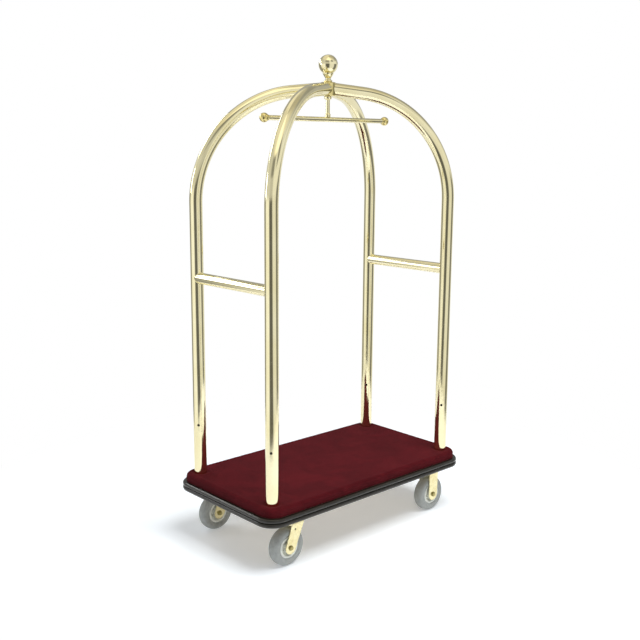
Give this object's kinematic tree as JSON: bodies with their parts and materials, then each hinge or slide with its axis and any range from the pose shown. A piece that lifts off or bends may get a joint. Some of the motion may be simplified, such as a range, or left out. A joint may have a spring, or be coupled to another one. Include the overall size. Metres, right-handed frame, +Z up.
{
  "type": "luggage cart",
  "caption": "Wheeled luggage cart with a carpeted deck, a vinyl edge bumper, two crossed tubular hoops with end rails, a ball finial and a garment hanger rail.",
  "frame": {"origin": "on the floor under the middle of the deck", "axes": "+Z up; +X forwards along the deck's long side, towards the rigid casters; +Y to the left"},
  "size_m": [1.1, 0.605, 1.9165],
  "materials": {
    "polished_brass": "mirror-polished pale brass",
    "plated_steel": "brass plated",
    "zinc_steel": "bright zinc plated",
    "carpet": "short cut-pile burgundy carpet",
    "bumper_vinyl": "semi-gloss black vinyl",
    "plywood": "plain plywood",
    "tyre_rubber": "grey non-marking rubber",
    "wheel_plastic": "moulded light grey"
  },
  "bodies": {
    "cart": {"base_board": "plywood", "top_panel": "plywood", "carpet": "carpet", "bumper": "bumper_vinyl", "hoop_tube_front_left": "polished_brass", "hoop_tube_front_right": "polished_brass", "hoop_tube_rear_left": "polished_brass", "hoop_tube_rear_right": "polished_brass", "end_rail_front": "polished_brass", "end_rail_rear": "polished_brass", "crown_hub": "polished_brass", "finial_base": "polished_brass", "finial_ball": "polished_brass", "hanger_stem": "polished_brass", "hanger_rail": "polished_brass", "hanger_ball_front": "polished_brass", "hanger_ball_rear": "polished_brass", "crown_rod": "zinc_steel", "leg_spigot_front_left": "zinc_steel", "leg_spigot_front_right": "zinc_steel", "leg_spigot_rear_left": "zinc_steel", "leg_spigot_rear_right": "zinc_steel", "leg_nut_front_left": "zinc_steel", "leg_nut_front_right": "zinc_steel", "leg_nut_rear_left": "zinc_steel", "leg_nut_rear_right": "zinc_steel", "caster_plate_front_left": "plated_steel", "caster_plate_front_right": "plated_steel", "caster_plate_rear_left": "plated_steel", "caster_plate_rear_right": "plated_steel", "fork_front_left": "plated_steel", "fork_front_right": "plated_steel", "swivel_race_rear_left": "plated_steel", "swivel_race_rear_right": "plated_steel", "kingpin_rear_left": "zinc_steel", "kingpin_rear_right": "zinc_steel", "swivel_bearing_rear_left": "zinc_steel", "swivel_bearing_rear_right": "zinc_steel", "axle_sleeve_front_left": "zinc_steel", "axle_bolt_front_left": "zinc_steel", "axle_nut_front_left": "zinc_steel", "axle_sleeve_front_right": "zinc_steel", "axle_bolt_front_right": "zinc_steel", "axle_nut_front_right": "zinc_steel"},
    "swivel_rear_left": {"fork_rear_left": "plated_steel", "axle_sleeve_rear_left": "zinc_steel", "axle_bolt_rear_left": "zinc_steel", "axle_nut_rear_left": "zinc_steel"},
    "swivel_rear_right": {"fork_rear_right": "plated_steel", "axle_sleeve_rear_right": "zinc_steel", "axle_bolt_rear_right": "zinc_steel", "axle_nut_rear_right": "zinc_steel"},
    "wheel_front_left": {"tyre_front_left": "tyre_rubber", "wheel_hub_front_left": "wheel_plastic"},
    "wheel_front_right": {"tyre_front_right": "tyre_rubber", "wheel_hub_front_right": "wheel_plastic"},
    "wheel_rear_left": {"tyre_rear_left": "tyre_rubber", "wheel_hub_rear_left": "wheel_plastic"},
    "wheel_rear_right": {"tyre_rear_right": "tyre_rubber", "wheel_hub_rear_right": "wheel_plastic"}
  },
  "joints": [
    {"name": "swivel_rear_left", "type": "hinge", "parent": "cart", "child": "swivel_rear_left", "pos_m": [-0.37, 0.225, 0.175], "axis": [0, 0, 1], "continuous": true},
    {"name": "swivel_rear_right", "type": "hinge", "parent": "cart", "child": "swivel_rear_right", "pos_m": [-0.37, -0.225, 0.175], "axis": [0, 0, 1], "continuous": true},
    {"name": "wheel_front_left", "type": "hinge", "parent": "cart", "child": "wheel_front_left", "pos_m": [0.41, 0.225, 0.075], "axis": [0, 1, 0], "continuous": true},
    {"name": "wheel_front_right", "type": "hinge", "parent": "cart", "child": "wheel_front_right", "pos_m": [0.41, -0.225, 0.075], "axis": [0, 1, 0], "continuous": true},
    {"name": "wheel_rear_left", "type": "hinge", "parent": "swivel_rear_left", "child": "wheel_rear_left", "pos_m": [-0.41, 0.225, 0.075], "axis": [0, 1, 0], "continuous": true},
    {"name": "wheel_rear_right", "type": "hinge", "parent": "swivel_rear_right", "child": "wheel_rear_right", "pos_m": [-0.41, -0.225, 0.075], "axis": [0, 1, 0], "continuous": true}
  ]
}
